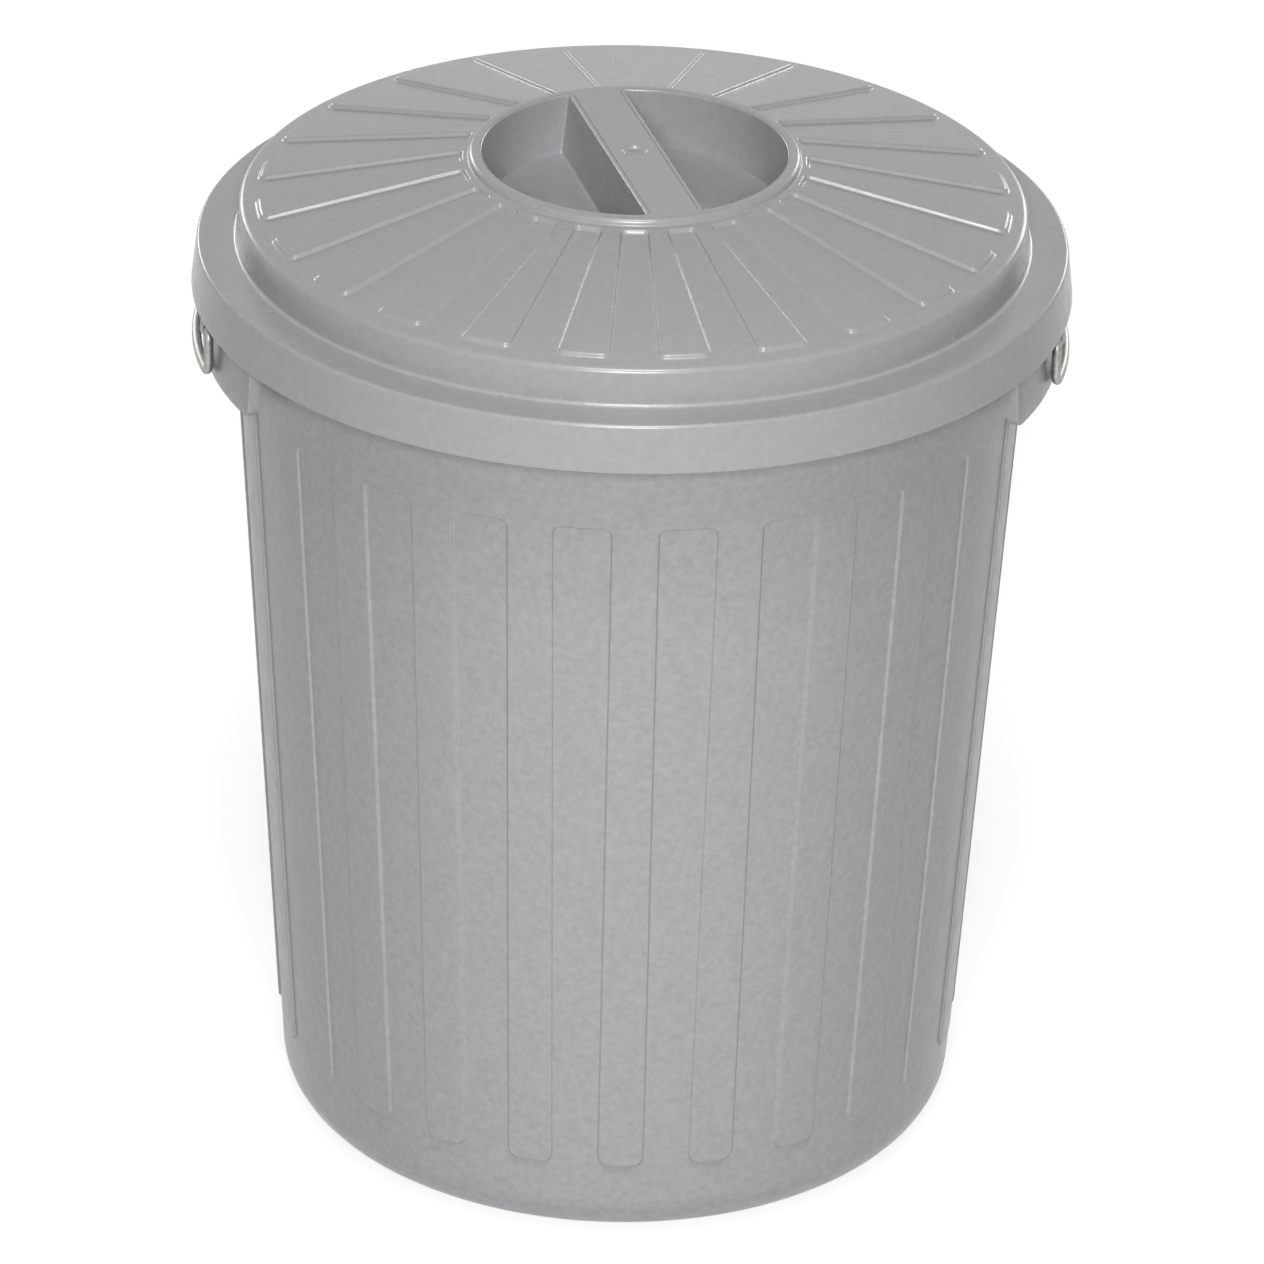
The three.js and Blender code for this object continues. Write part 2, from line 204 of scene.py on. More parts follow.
def eased(line):
    """The line with a support point near both ends of each long stretch."""
    points = [line[0]]
    for a, b in zip(line, line[1:]):
        if (b - a).length > 4 * EASE:
            step = (b - a).normalized() * EASE
            points += [a + step, b - step]
        points.append(b)
    return points


def turned(bm, corners, steps=SECTORS * COLUMNS, bend_steps=4):
    """Spins a line of (radius, height, rounding) corners once round the axis."""
    line = eased(rounded(corners, bend_steps))
    verts = [bm.verts.new((radius, 0, height)) for radius, height in line]
    edges = [bm.edges.new(pair) for pair in zip(verts, verts[1:])]
    spun = bmesh.ops.spin(
        bm, geom=verts + edges, cent=(0, 0, 0), axis=(0, 0, 1),
        angle=2 * math.pi, steps=steps, use_merge=True,
    )
    return spun["geom_last"]


def cut_columns(bm, radius_at, angles, **trim):
    """Cuts a flat drawing along the lines that become upright lines of the turned form."""
    for angle in angles:
        lean = angle * (radius_at(1) - radius_at(0))
        bmesh.ops.bisect_plane(
            bm, geom=bm.verts[:] + bm.edges[:] + bm.faces[:], dist=1e-4,
            plane_co=(angle * radius_at(0), 0, 0), plane_no=(1, -lean, 0), **trim,
        )


def cut_rows(bm, levels):
    """Cuts a flat drawing along level lines."""
    for level in levels:
        bmesh.ops.bisect_plane(
            bm, geom=bm.verts[:] + bm.edges[:] + bm.faces[:], dist=1e-4,
            plane_co=(0, level, 0), plane_no=(0, 1, 0),
        )


def soften(bm, edges, size, segments=3):
    """Rounds edges off."""
    bmesh.ops.bevel(
        bm, geom=edges, offset=size, offset_type="OFFSET", segments=segments,
        profile=0.5, affect="EDGES", clamp_overlap=False, material=-1,
    )


def relief_sector(half_width_at, radius_at, root, tip, raised_end, sunk_end,
                  relief, root_rounding, tip_rounding, draft, tip_draft, fillet):
    """One finger of a raised pattern, drawn flat: X across, Y along it, Z out of the wall."""
    bm = bmesh.new()
    half_sector = math.pi / SECTORS
    drawn = DRAWN_WIDTH * half_sector
    inner = LINE_WIDTH * half_sector
    along = math.copysign(1, tip - root)

    def outline(grown):
        """The finger's outline at the foot of its sloping sides (0.5) or at their top (-0.5)."""
        start = root + along * grown * draft
        end = tip + along * grown * tip_draft
        root_half = half_width_at(root) + grown * draft
        tip_half = half_width_at(tip) + grown * draft
        side = radius_at(root)
        return rounded([
            (-side * drawn, start, 0),
            (-side * inner, start, 0),
            (-root_half, start, root_rounding),
            (-tip_half, end, tip_rounding),
            (tip_half, end, tip_rounding),
            (root_half, start, root_rounding),
            (side * inner, start, 0),
            (side * drawn, start, 0),
        ], 5)

    low = [bm.verts.new((x, y, 0)) for x, y in outline(0.5)]
    low_line = [bm.edges.new(pair) for pair in zip(low, low[1:])]
    reach = radius_at(sunk_end) * drawn
    bm.faces.new(low + [bm.verts.new((x, sunk_end, 0)) for x in (reach, -reach)])
    pushed = bmesh.ops.extrude_edge_only(bm, edges=low_line)["geom"]
    lifted = [g for g in pushed if isinstance(g, bmesh.types.BMVert)]
    bmesh.ops.translate(bm, vec=(0, 0, relief), verts=lifted)
    high = [
        next(e.other_vert(v) for e in v.link_edges if e.other_vert(v).co.z > relief / 2)
        for v in low
    ]
    for v, (x, y) in zip(high, outline(-0.5)):
        v.co.xy = x, y
    reach = radius_at(raised_end) * drawn
    bm.faces.new(high + [bm.verts.new((x, raised_end, relief)) for x in (reach, -reach)])
    high_line = [bm.edges.get(pair) for pair in zip(high, high[1:])]
    bmesh.ops.recalc_face_normals(bm, faces=bm.faces)
    soften(bm, low_line + high_line, fillet)
    flats = sorted(bm.faces, key=lambda f: f.calc_area())[-2:]
    bmesh.ops.inset_region(
        bm, faces=flats, thickness=EASE / 2, depth=0, use_boundary=False, use_even_offset=True,
    )
    cut_columns(bm, radius_at, [-half_sector], clear_inner=True)
    cut_columns(bm, radius_at, [half_sector], clear_outer=True)
    cut_columns(bm, radius_at, [half_sector * (2 * k / COLUMNS - 1) for k in range(1, COLUMNS)])
    return bm


def copies_round(bm):
    """Repeats everything in the mesh for each sector round the axis."""
    bmesh.ops.spin(
        bm, geom=bm.verts[:] + bm.edges[:] + bm.faces[:], cent=(0, 0, 0), axis=(0, 0, 1),
        angle=2 * math.pi * (SECTORS - 1) / SECTORS, steps=SECTORS - 1, use_duplicate=True,
    )


def finished_piece(bm, name, body, material, node=None):
    """Closes a mesh, brings it to metres and hands it over to its moving body."""
    bmesh.ops.remove_doubles(bm, verts=bm.verts, dist=MERGE)
    bmesh.ops.recalc_face_normals(bm, faces=bm.faces)
    for face in bm.faces:
        face.smooth = True
    for edge in bm.edges:
        edge.smooth = edge.calc_face_angle(0) < SHARP_ANGLE
    bmesh.ops.scale(bm, vec=(MM, MM, MM), verts=bm.verts)
    mesh = bpy.data.meshes.new(name)
    bm.to_mesh(mesh)
    bm.free()
    mesh.materials.append(material)
    piece = bpy.data.objects.new(name, mesh)
    bpy.context.scene.collection.objects.link(piece)
    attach(piece, body)
    if node:
        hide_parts(node)
    return piece


# ------------------------------------------------------------------ body


def ribbed_wall():
    """The wall from its foot rounding to the collar, ribs, flutes and plain band."""
    bm = relief_sector(
        lambda height: RIB_HALF_WIDTH, body_radius, FLUTE_TOP, RIB_FOOT,
        RIB_PATTERN_TOP, RIB_PATTERN_FOOT, RIB_RELIEF,
        FLUTE_TOP_ROUNDING, RIB_FOOT_ROUNDING, RIB_DRAFT, RIB_DRAFT, RIB_FILLET,
    )
    bend = RIB_FOOT_ROUNDING + 2 * EASE
    cut_rows(bm, [
        RIB_FOOT - 2 * EASE, RIB_FOOT + bend, *RIB_ROWS,
        FLUTE_TOP - bend, FLUTE_TOP + 2 * EASE,
    ])
    for v in bm.verts:
        across, height, out = v.co
        angle = across / body_radius(height)
        radius = body_radius(height) - RIB_RELIEF + out
        v.co = (radius * math.cos(angle), radius * math.sin(angle), height)
    copies_round(bm)
    return bm


def collar_and_aprons(bm):
    """The turned-down collar with both aprons, drawn flat as a quarter and mirrored."""
    sheet = bmesh.new()
    top = RIM_HEIGHT - COLLAR_JOIN
    collar_foot = RIM_HEIGHT - COLLAR_DEPTH
    apron_foot = RIM_HEIGHT - APRON_DROP
    quarter = math.pi / 2
    hem = rounded([
        (0, apron_foot, 0),
        (APRON_HALF_LENGTH, apron_foot, APRON_ROUNDING),
        (APRON_HALF_LENGTH, collar_foot, APRON_TOP_ROUNDING),
        (collar_radius(collar_foot) * quarter, collar_foot, 0),
    ], 6)
    verts = [sheet.verts.new((x, y, 0)) for x, y in hem]
    hem_edges = [sheet.edges.new(pair) for pair in zip(verts, verts[1:])]
    upper = [sheet.verts.new((x, top, 0)) for x in (collar_radius(top) * quarter, 0)]
    sheet.faces.new(verts + upper)
    apron_hem = [e for e in hem_edges if max(v.co.y for v in e.verts) < collar_foot - 1]
    pushed = bmesh.ops.extrude_edge_only(sheet, edges=apron_hem)["geom"]
    lip = [g for g in pushed if isinstance(g, bmesh.types.BMVert)]
    bmesh.ops.translate(sheet, vec=(0, 0, -APRON_LIP), verts=lip)
    soften(sheet, apron_hem, APRON_LIP_ROUNDING)
    cut_rows(sheet, [apron_foot + 12, collar_foot + 1])
    columns = SECTORS * COLUMNS // 4
    cut_columns(sheet, collar_radius, [quarter * k / columns for k in range(1, columns)])
    bmesh.ops.recalc_face_normals(sheet, faces=sheet.faces)
    if max(sheet.faces, key=lambda f: f.calc_area()).normal.z < 0:
        bmesh.ops.reverse_faces(sheet, faces=sheet.faces)
    bmesh.ops.solidify(sheet, geom=sheet.faces[:], thickness=COLLAR_WALL)
    joints = []
    for face in sheet.faces:
        angles = [v.co.x / collar_radius(v.co.y) for v in face.verts]
        at_top = all(abs(v.co.y - top) < 1e-3 for v in face.verts)
        at_side = any(all(abs(a - side) < 1e-5 for a in angles) for side in (0, quarter))
        if at_top or at_side:
            joints.append(face)
    bmesh.ops.delete(sheet, geom=joints, context="FACES_ONLY")
    bmesh.ops.delete(sheet, geom=[e for e in sheet.edges if e.is_wire], context="EDGES")
    for v in sheet.verts:
        along, height, out = v.co
        angle = along / collar_radius(height)
        radius = collar_radius(height) + out
        v.co = (radius * math.cos(angle), radius * math.sin(angle), height)
    for axis in ("Y", "X"):
        bmesh.ops.mirror(
            sheet, geom=sheet.verts[:] + sheet.edges[:] + sheet.faces[:],
            matrix=Matrix.Identity(4), merge_dist=MERGE, axis=axis,
        )
    mesh = bpy.data.meshes.new("collar_sheet")
    sheet.to_mesh(mesh)
    sheet.free()
    bm.from_mesh(mesh)
    bpy.data.meshes.remove(mesh)


def handle_bosses(bm):
    """Four small drums on the aprons, each with a bore for a turned-in wire end."""
    outer_end = HANDLE_HALF_SPAN - PIN_BEND - BOSS_SET_IN
    middle = outer_end - BOSS_LENGTH / 2
    for side in (-1, 1):
        for end in (-1, 1):
            place = Matrix.Translation((side * PIVOT_REACH, end * middle, PIVOT_HEIGHT))
            turn = Matrix.Rotation(-end * math.pi / 2, 4, "X")
            drum = bmesh.ops.create_cone(
                bm, cap_ends=True, segments=32, radius1=BOSS_RADIUS, radius2=BOSS_RADIUS,
                depth=BOSS_LENGTH, matrix=place @ turn,
            )
            faces = {f for v in drum["verts"] for f in v.link_faces}
            front = max(faces, key=lambda f: f.calc_center_median().y * end)
            back = min(faces, key=lambda f: f.calc_center_median().y * end)
            rims = list(front.edges) + list(back.edges)
            bmesh.ops.inset_individual(
                bm, faces=[front], thickness=BOSS_RADIUS - BORE_RADIUS, use_even_offset=True,
            )
            pushed = bmesh.ops.extrude_discrete_faces(bm, faces=[front])["faces"]
            bmesh.ops.translate(
                bm, vec=(0, -end * (BOSS_LENGTH - BOSS_WALL), 0), verts=pushed[0].verts,
            )
            soften(bm, rims, BOSS_ROUNDING, 2)


def make_body():
    """Ribbed wall, foot, rim, hollow, collar, aprons and bosses as one closed moulding."""
    bm = ribbed_wall()
    turned(bm, [
        (body_radius(RIB_PATTERN_FOOT) - RIB_RELIEF, RIB_PATTERN_FOOT, 0),
        (FOOT_RADIUS - RIB_RELIEF, 0, FOOT_ROUNDING),
        (FOOT_INNER, 0, 0.8),
        (FOOT_INNER - FOOT_DEPTH, FOOT_DEPTH, 0.8),
        (0, FOOT_DEPTH, 0),
    ], bend_steps=8)
    under = RIM_HEIGHT - WALL
    join = RIM_HEIGHT - COLLAR_JOIN
    turned(bm, [
        (body_radius(RIB_PATTERN_TOP), RIB_PATTERN_TOP, 0),
        (body_radius(under), under, 1.2),
        (collar_radius(under) - COLLAR_WALL, under, 1.0),
        (collar_radius(join) - COLLAR_WALL, join, 0),
    ])
    turned(bm, [
        (collar_radius(join), join, 0),
        (collar_radius(RIM_HEIGHT), RIM_HEIGHT, 1.4),
        (hollow_radius(RIM_HEIGHT), RIM_HEIGHT, 1.0),
        (hollow_radius(BASE_TOP), BASE_TOP, FOOT_ROUNDING - WALL),
        (0, BASE_TOP, 0),
    ], bend_steps=8)
    collar_and_aprons(bm)
    handle_bosses(bm)
    return finished_piece(bm, "ribbed_body", "bin", BODY_PLASTIC, "body")


# ------------------------------------------------------------------ handles


def quarter_bend(centre, first, second, radius, steps=8):
    """Points of a bend round centre, from its first side to its second."""
    angles = [math.pi / 2 * k / steps for k in range(steps + 1)]
    return [centre + radius * (math.cos(a) * first + math.sin(a) * second) for a in angles]


def wire_line(side):
    """Middle line of a hanging handle: pin, bend, leg, bend, grip round the bin, and back."""
    round_bin, up = Vector((0, 1, 0)), Vector((0, 0, 1))
    grip = PIVOT_HEIGHT - HANDLE_DROP
    half = [Vector((PIVOT_REACH, HANDLE_HALF_SPAN - PIN_LENGTH, PIVOT_HEIGHT))]
    pin_centre = Vector((PIVOT_REACH, HANDLE_HALF_SPAN - PIN_BEND, PIVOT_HEIGHT - PIN_BEND))
    half += quarter_bend(pin_centre, up, round_bin, PIN_BEND)
    grip_half = HANDLE_HALF_SPAN - GRIP_BEND
    lower = quarter_bend(Vector((0, grip_half, grip + GRIP_BEND)), round_bin, -up, GRIP_BEND)
    steps = 14
    lower += [Vector((0, grip_half * (1 - k / steps), grip)) for k in range(1, steps + 1)]
    for point in lower:
        point.x = math.sqrt(HANDLE_RADIUS**2 - point.y**2)
    half += lower
    line = half + [Vector((p.x, -p.y, p.z)) for p in reversed(half[:-1])]
    return [Vector((side * p.x, p.y, p.z)) for p in line]


def make_handle(name, side, body, node):
    """A round wire along its middle line, with flat ends inside the bosses."""
    curve = bpy.data.curves.new(name + "_line", "CURVE")
    curve.dimensions = "3D"
    curve.bevel_depth = WIRE_RADIUS
    curve.bevel_resolution = 5
    curve.use_fill_caps = True
    line = wire_line(side)
    spline = curve.splines.new("POLY")
    spline.points.add(len(line) - 1)
    for point, place in zip(spline.points, line):
        point.co = (*place, 1)
    drawn = bpy.data.objects.new(name + "_line", curve)
    bpy.context.scene.collection.objects.link(drawn)
    bpy.context.view_layer.update()
    depsgraph = bpy.context.evaluated_depsgraph_get()
    mesh = bpy.data.meshes.new_from_object(drawn.evaluated_get(depsgraph))
    bm = bmesh.new()
    bm.from_mesh(mesh)
    bpy.data.objects.remove(drawn)
    bpy.data.curves.remove(curve)
    bpy.data.meshes.remove(mesh)
    return finished_piece(bm, name, body, WIRE_METAL, node)


# ------------------------------------------------------------------ lid


def grip_pockets(bm, rim_radius, rim_height, floor_radius, floor_height,
                 bar_half, bar_foot_half, edge_rounding, foot_rounding):
    """Closes a round rim with two pockets on either side of a bar as high as the rim."""
    across = ACROSS_BAR
    rim = [
        e for e in bm.edges
        if all(
            abs(v.co.z - rim_height) < 1e-3 and abs(v.co.xy.length - rim_radius) < 1e-3
            for v in e.verts
        )
    ]
    disc = bmesh.ops.edgeloop_fill(bm, edges=rim)["faces"]
    for half in (bar_half, -bar_half):
        geom = list(disc)
        for f in disc:
            geom += [*f.edges, *f.verts]
        cut = bmesh.ops.bisect_plane(
            bm, geom=list(set(geom)), dist=1e-4, plane_co=across * half, plane_no=across,
        )
        disc = [g for g in cut["geom"] if isinstance(g, bmesh.types.BMFace)]
    pockets = [f for f in disc if abs(f.calc_center_median().dot(across)) > bar_half]
    floors = bmesh.ops.extrude_discrete_faces(bm, faces=pockets)["faces"]
    rim_spread = math.acos(bar_half / rim_radius)
    floor_spread = math.acos(bar_foot_half / floor_radius)
    upright_edges = []
    floor_edges = []
    for floor in floors:
        facing = across if floor.calc_center_median().dot(across) > 0 else -across
        along = Vector((-facing.y, facing.x, 0))
        for v in floor.verts:
            angle = math.atan2(v.co.dot(along), v.co.dot(facing))
            corner = abs(abs(angle) - rim_spread) < 1e-3
            angle *= floor_spread / rim_spread
            v.co = floor_radius * (math.cos(angle) * facing + math.sin(angle) * along)
            v.co.z = floor_height
            if corner:
                upright_edges += [e for e in v.link_edges if e not in floor.edges[:]]
        floor_edges += floor.edges[:]
    soften(bm, floor_edges + upright_edges, foot_rounding)
    rim_edges = [
        e for e in bm.edges
        if all(
            abs(v.co.z - rim_height) < 1e-3 and v.co.xy.length < rim_radius + 1e-2
            for v in e.verts
        )
        and e.calc_face_angle(0) > math.radians(50)
    ]
    soften(bm, rim_edges, edge_rounding)
    bar_faces = [
        f for f in bm.faces
        if f.calc_area() > 400 and f.calc_center_median().xy.length < bar_foot_half + 5
        and f.calc_center_median().z > floor_height + 5
    ]
    bmesh.ops.inset_individual(bm, faces=bar_faces, thickness=EASE, use_even_offset=True)
    for level in (rim_height - 2 * edge_rounding, floor_height + 2 * foot_rounding):
        walls = [
            f for f in bm.faces
            if min(v.co.z for v in f.verts) < level < max(v.co.z for v in f.verts)
            and all(v.co.xy.length < rim_radius + 1e-2 for v in f.verts) and f.calc_area() < 400
        ]
        geom = {g for f in walls for g in (f, *f.edges, *f.verts)}
        bmesh.ops.bisect_plane(
            bm, geom=list(geom), dist=1e-4, plane_co=(0, 0, level), plane_no=(0, 0, 1),
        )


def gate_mark(bm):
    """The shallow dish that the moulding gate leaves in the middle of the grip bar."""
    along = Vector((-ACROSS_BAR.y, ACROSS_BAR.x, 0))
    half = GATE_PATCH * GATE_RADIUS
    at_top = [f for f in bm.faces if abs(f.calc_center_median().z - RING_TOP) < 1e-3]
    patch = [max(at_top, key=lambda f: f.calc_area())]
    for outward in (ACROSS_BAR, -ACROSS_BAR, along, -along):
        geom = {g for f in patch for g in (f, *f.edges, *f.verts)}
        cut = bmesh.ops.bisect_plane(
            bm, geom=list(geom), dist=1e-4, plane_co=outward * half, plane_no=outward,
        )
        patch = [
            g for g in cut["geom"]
            if isinstance(g, bmesh.types.BMFace) and g.calc_center_median().dot(outward) < half
        ]
    sides = list(patch[0].edges)
    bmesh.ops.delete(bm, geom=patch, context="FACES_ONLY")
    bmesh.ops.subdivide_edges(bm, edges=sides, cuts=7)
    turned(bm, [
        (1.2 * GATE_RADIUS, RING_TOP, 0),
        (1.02 * GATE_RADIUS, RING_TOP, 0.4),
        (0.82 * GATE_RADIUS, RING_TOP - GATE_DEPTH, 1.2),
        (0, RING_TOP - GATE_DEPTH, 0),
    ], steps=32)
    around = [
        e for e in bm.edges
        if e.is_boundary and all(GATE_RADIUS < v.co.xy.length < 2 * GATE_RADIUS for v in e.verts)
    ]
    bmesh.ops.bridge_loops(bm, edges=around)


def make_lid():
    """Fingered top, hub ring, cup with its bar, ledge, skirt and spigot as one moulding."""
    radius_at = lambda along: along
    widening = (FINGER_TIP_HALF - VALLEY_ROOT_FINGER_HALF) / (FINGER_TIP - VALLEY_ROOT)
    bm = relief_sector(
        lambda along: VALLEY_ROOT_FINGER_HALF + widening * (along - VALLEY_ROOT), radius_at,
        VALLEY_ROOT, FINGER_TIP, PATTERN_INNER, PATTERN_OUTER, FINGER_HEIGHT,
        VALLEY_ROOT_ROUNDING, FINGER_TIP_ROUNDING, FINGER_DRAFT, FINGER_TIP_DRAFT, FINGER_FILLET,
    )
    cut_rows(bm, [
        VALLEY_ROOT + VALLEY_ROOT_ROUNDING + 2 * EASE, *FINGER_ROWS,
        FINGER_TIP - FINGER_TIP_ROUNDING - 2 * EASE,
    ])
    for v in bm.verts:
        across, along, out = v.co
        angle = across / along + math.pi / SECTORS
        v.co = (along * math.cos(angle), along * math.sin(angle), lid_height(along) + out)
    copies_round(bm)
    hub = lambda radius: lid_height(radius) + FINGER_HEIGHT
    turned(bm, [
        (PATTERN_INNER, hub(PATTERN_INNER), 0),
        (RING_FOOT_RADIUS, hub(RING_FOOT_RADIUS), 0.8),
        (RING_RADIUS, RING_TOP, 2.6),
        (CUP_RADIUS, RING_TOP, 0),
    ])
    crown_inside = CROWN_RADIUS - WALL
    spigot_inside = SPIGOT_RADIUS - WALL
    under_ring = CUP_RADIUS + WALL
    turned(bm, [
        (PATTERN_OUTER, lid_height(PATTERN_OUTER), 0),
        (CROWN_RADIUS, CROWN_TOP, 3.0),
        (CROWN_RADIUS + CROWN_DRAFT, LEDGE_TOP, 1.8),
        (LEDGE_RADIUS, LEDGE_TOP - LEDGE_FALL, 1.8),
        (SKIRT_RADIUS, SKIRT_EDGE, 0.8),
        (SKIRT_RADIUS - WALL, SKIRT_EDGE, 0.8),
        (LEDGE_RADIUS - WALL, LEDGE_UNDER, 1.5),
        (SPIGOT_RADIUS, LEDGE_UNDER, 0.8),
        (SPIGOT_RADIUS, RIM_HEIGHT - SPIGOT_DEPTH, 0.7),
        (spigot_inside, RIM_HEIGHT - SPIGOT_DEPTH, 0.7),
        (spigot_inside, lid_height(crown_inside) - WALL, 1.5),
        (under_ring, lid_height(under_ring) - WALL, 0),
    ])
    grip_pockets(
        bm, CUP_RADIUS, RING_TOP, CUP_FLOOR_RADIUS, RING_TOP - CUP_DEPTH,
        BAR_HALF_WIDTH, BAR_FOOT_HALF_WIDTH, CUP_EDGE_ROUNDING, CUP_FLOOR_ROUNDING,
    )
    gate_mark(bm)
    grip_pockets(
        bm, under_ring, lid_height(under_ring) - WALL, CUP_FLOOR_RADIUS + WALL,
        RING_TOP - CUP_DEPTH - WALL, BAR_HOLLOW_HALF_WIDTH, BAR_HOLLOW_FOOT_HALF_WIDTH,
        UNDERSIDE_ROUNDING, CUP_FLOOR_ROUNDING,
    )
    bmesh.ops.rotate(bm, cent=(0, 0, 0), matrix=Matrix.Rotation(LID_TURN, 3, "Z"), verts=bm.verts)
    return finished_piece(bm, "fingered_lid", "lid", LID_PLASTIC, "lid")


# ------------------------------------------------------------------ finishes


def new_material(name):
    """A new material with its node tree and its shader."""
    material = bpy.data.materials.new(name)
    material.use_nodes = True
    tree = material.node_tree
    return material, tree, tree.nodes["Principled BSDF"]


def noise(tree, scale, detail, roughness=0.5):
    """A solid noise texture that lies still in the piece."""
    place = tree.nodes.new("ShaderNodeTexCoord")
    texture = tree.nodes.new("ShaderNodeTexNoise")
    texture.inputs["Scale"].default_value = scale
    texture.inputs["Detail"].default_value = detail
    texture.inputs["Roughness"].default_value = roughness
    tree.links.new(place.outputs["Object"], texture.inputs["Vector"])
    return texture


def spread(tree, source, low, high, to_low, to_high):
    """Maps a texture's values from low and high onto two new limits."""
    remap = tree.nodes.new("ShaderNodeMapRange")
    limits = {"From Min": low, "From Max": high, "To Min": to_low, "To Max": to_high}
    for socket, value in limits.items():
        remap.inputs[socket].default_value = value
    tree.links.new(source, remap.inputs["Value"])
    return remap.outputs["Result"]


def moulded_plastic(name, colour, mottle, roughness):
    """Silver-grey moulded plastic with metal flake: mottled, satin, with a fine grain."""
    material, tree, shader = new_material(name)
    blotches = noise(tree, 260, 3.0, 0.6)
    tint = tree.nodes.new("ShaderNodeMix")
    tint.data_type = "RGBA"
    tint.inputs["A"].default_value = (*[c * (1 - mottle) for c in colour], 1)
    tint.inputs["B"].default_value = (*[c * (1 + mottle) for c in colour], 1)
    tree.links.new(spread(tree, blotches.outputs["Fac"], 0.3, 0.7, 0, 1), tint.inputs["Factor"])
    tree.links.new(tint.outputs["Result"], shader.inputs["Base Color"])
    shader.inputs["Metallic"].default_value = 0.05
    shader.inputs["Specular IOR Level"].default_value = 0.5
    patches = noise(tree, 90, 2.0)
    tree.links.new(
        spread(tree, patches.outputs["Fac"], 0.3, 0.7, roughness - 0.04, roughness + 0.04),
        shader.inputs["Roughness"],
    )
    grain = noise(tree, 1400, 2.0)
    bump = tree.nodes.new("ShaderNodeBump")
    bump.inputs["Strength"].default_value = 0.04
    bump.inputs["Distance"].default_value = 0.0002
    tree.links.new(grain.outputs["Fac"], bump.inputs["Height"])
    tree.links.new(bump.outputs["Normal"], shader.inputs["Normal"])
    return material


def zinc_wire(name):
    """Dull zinc-plated wire, patchy and a little rough."""
    material, tree, shader = new_material(name)
    patches = noise(tree, 380, 4.0, 0.65)
    tint = tree.nodes.new("ShaderNodeMix")
    tint.data_type = "RGBA"
    tint.inputs["A"].default_value = (0.23, 0.23, 0.215, 1)
    tint.inputs["B"].default_value = (0.46, 0.46, 0.44, 1)
    tree.links.new(spread(tree, patches.outputs["Fac"], 0.3, 0.7, 0, 1), tint.inputs["Factor"])
    tree.links.new(tint.outputs["Result"], shader.inputs["Base Color"])
    shader.inputs["Metallic"].default_value = 0.85
    tree.links.new(
        spread(tree, patches.outputs["Fac"], 0.3, 0.7, 0.32, 0.5), shader.inputs["Roughness"],
    )
    return material


BODY_PLASTIC = moulded_plastic("silver_grey_body_plastic", (0.375, 0.38, 0.39), 0.1, 0.32)
LID_PLASTIC = moulded_plastic("silver_grey_lid_plastic", (0.38, 0.385, 0.395), 0.05, 0.25)
WIRE_METAL = zinc_wire("dull_zinc_wire")

# ------------------------------------------------------------------ the bin

FOOT_INNER = body_radius(FOOT_ROUNDING) - RIB_RELIEF - FOOT_ROUNDING - FOOT_WIDTH
PIVOT_HEIGHT = RIM_HEIGHT - PIVOT_DROP
HANDLE_RADIUS = collar_radius(PIVOT_HEIGHT - HANDLE_DROP) + HANDLE_GAP + WIRE_RADIUS
PIVOT_REACH = math.sqrt(HANDLE_RADIUS**2 - HANDLE_HALF_SPAN**2)

make_body()
make_lid()
make_handle("wire_handle_left", -1, "left_handle", "handle_left")
make_handle("wire_handle_right", 1, "right_handle", "handle_right")

# ------------------------------------------------------------------ floor, light and camera


def camera_or_mirror_ray(tree):
    """1 for rays that come from the camera or by a mirror or glass, 0 for all others."""
    path = tree.nodes.new("ShaderNodeLightPath")
    total = path.outputs["Is Camera Ray"]
    for name in ("Is Glossy Ray", "Is Transmission Ray"):
        either = tree.nodes.new("ShaderNodeMath")
        either.operation = "MAXIMUM"
        tree.links.new(total, either.inputs[0])
        tree.links.new(path.outputs[name], either.inputs[1])
        total = either.outputs[0]
    return total


def make_floor():
    """A pale floor that the camera sees as white, apart from the bin's shadow."""
    bm = bmesh.new()
    bmesh.ops.create_grid(bm, x_segments=1, y_segments=1, size=12)
    mesh = bpy.data.meshes.new("floor")
    bm.to_mesh(mesh)
    bm.free()
    floor = bpy.data.objects.new("floor", mesh)
    bpy.context.scene.collection.objects.link(floor)
    material, tree, shader = new_material("white_floor")
    shader.inputs["Base Color"].default_value = (0.5, 0.5, 0.5, 1)
    shader.inputs["Roughness"].default_value = 0.9
    shader.inputs["Specular IOR Level"].default_value = 0.0
    shader.inputs["Emission Color"].default_value = (1, 1, 1, 1)
    lift = tree.nodes.new("ShaderNodeMath")
    lift.operation = "MULTIPLY"
    lift.inputs[1].default_value = 0.75
    tree.links.new(camera_or_mirror_ray(tree), lift.inputs[0])
    tree.links.new(lift.outputs[0], shader.inputs["Emission Strength"])
    mesh.materials.append(material)


def make_world(level):
    """A white studio all round that lights the bin at this level."""
    world = bpy.data.worlds.new("studio")
    bpy.context.scene.world = world
    world.use_nodes = True
    tree = world.node_tree
    background = tree.nodes["Background"]
    background.inputs["Color"].default_value = (1, 1, 1, 1)
    strength = tree.nodes.new("ShaderNodeMapRange")
    strength.inputs["To Min"].default_value = level
    strength.inputs["To Max"].default_value = 1.0
    tree.links.new(camera_or_mirror_ray(tree), strength.inputs["Value"])
    tree.links.new(strength.outputs["Result"], background.inputs["Strength"])


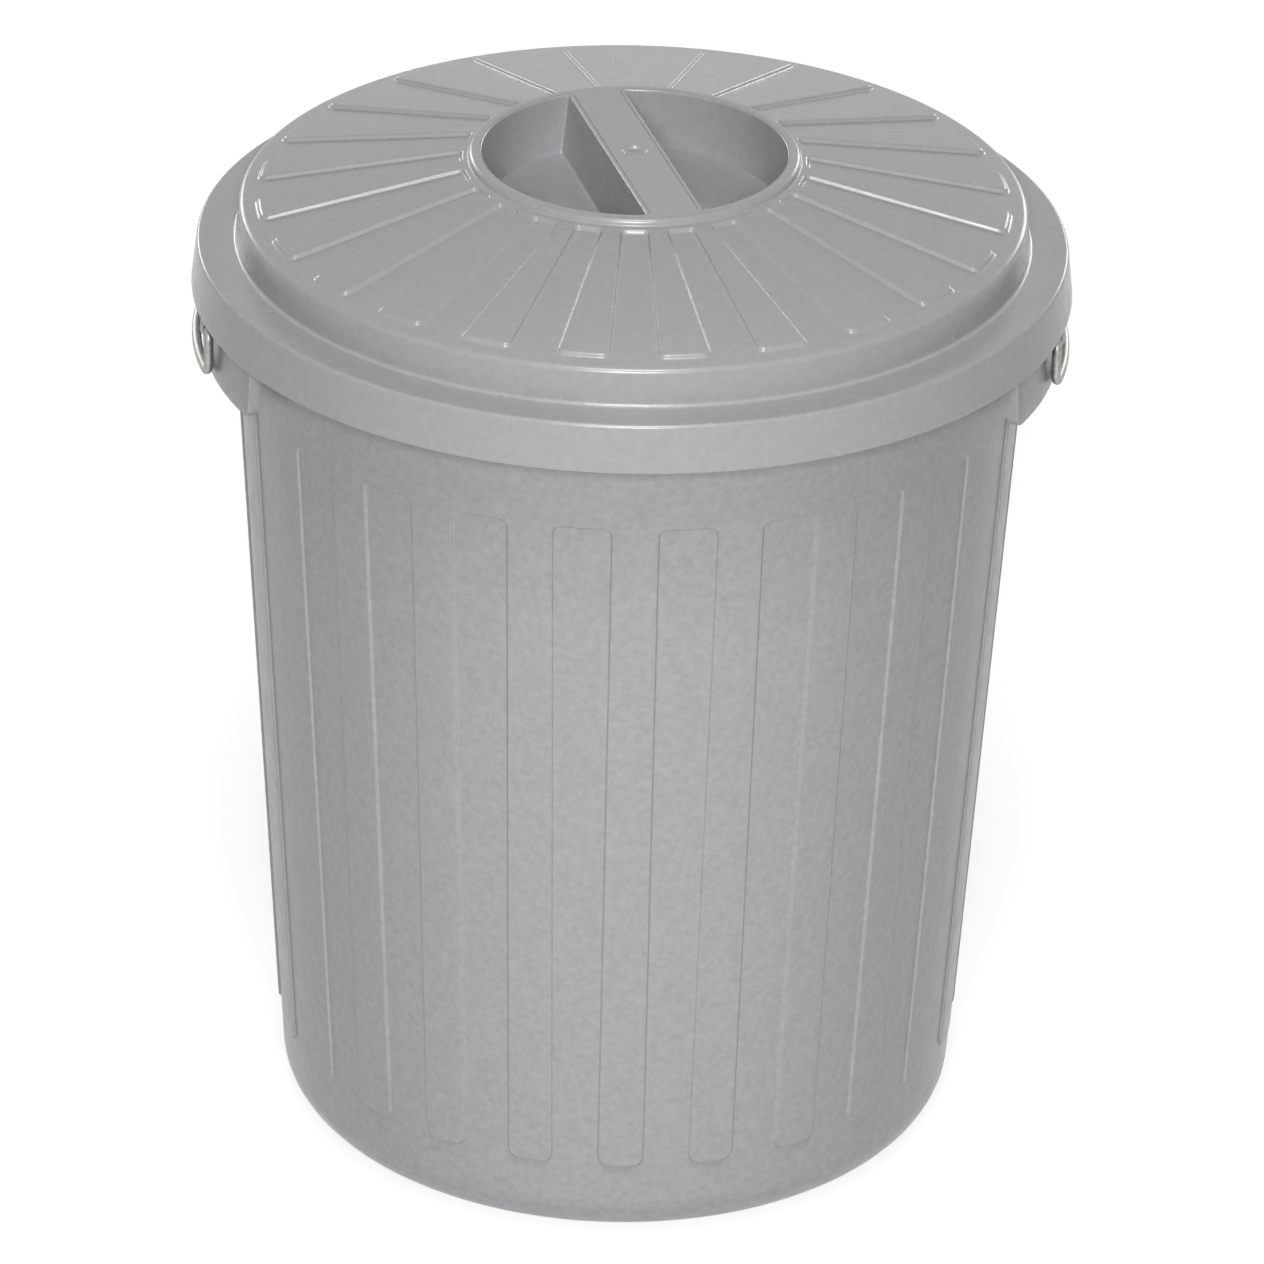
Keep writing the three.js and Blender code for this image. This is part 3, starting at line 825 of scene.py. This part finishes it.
def hang_lamp(name, light, place, aim, level):
    """Sets a lamp so that a white sheet at aim, square to it, would show at this level."""
    away = Vector(place) - Vector(aim)
    spread_over = math.pi if light.type == "AREA" else 4 * math.pi
    light.energy = level * math.pi * spread_over * away.length_squared
    lamp = bpy.data.objects.new(name, light)
    bpy.context.scene.collection.objects.link(lamp)
    lamp.location = place
    lamp.rotation_euler = away.to_track_quat("Z", "Y").to_euler()


def soft_box(name, place, aim, size, level):
    """A square studio lamp."""
    light = bpy.data.lights.new(name, "AREA")
    light.shape = "SQUARE"
    light.size = size
    hang_lamp(name, light, place, aim, level)


def floor_spot(name, place, aim, cone, level):
    """Lights the floor in front of the bin, which throws light up its wall."""
    light = bpy.data.lights.new(name, "SPOT")
    light.spot_size = cone
    light.spot_blend = 0.6
    light.shadow_soft_size = 0.25
    hang_lamp(name, light, place, aim, level)


def make_camera():
    """The camera of the photograph, worked out from the rim circles and the outline."""
    yaw, pitch, roll = 0.0238, 0.4792, 0.0228
    forward = Vector((
        math.sin(yaw) * math.cos(pitch), math.cos(yaw) * math.cos(pitch), -math.sin(pitch),
    ))
    level = Vector((math.cos(yaw), -math.sin(yaw), 0))
    upright = level.cross(forward)
    right = math.cos(roll) * level + math.sin(roll) * upright
    up = math.cos(roll) * upright - math.sin(roll) * level
    data = bpy.data.cameras.new("camera")
    data.sensor_width = 36
    data.lens = 224.03
    data.clip_start, data.clip_end = 0.1, 60
    camera = bpy.data.objects.new("camera", data)
    bpy.context.scene.collection.objects.link(camera)
    turn = Matrix((right, up, -forward)).transposed().to_4x4()
    camera.matrix_world = Matrix.Translation((-0.0809, -3.5667, 2.1105)) @ turn
    bpy.context.scene.camera = camera


make_floor()
make_world(0.06)
soft_box("front_box", (-0.12, -4.0, 2.4), (0, 0, 0.3), 1.2, 0.565)
soft_box("top_box", (0, -1.5, 3.5), (0, 0, 0.5), 1.0, 0.33)
for side in (-1, 1):
    soft_box(f"back_box_{side + 1}", (1.9 * side, 3.3, 1.35), (0, 0, 0.3), 1.2, 0.17)
floor_spot("floor_spot", (0, -0.98, 2.4), (0, -0.98, 0), math.radians(42), 0.92)
make_camera()
bpy.context.scene.view_settings.view_transform = "Standard"
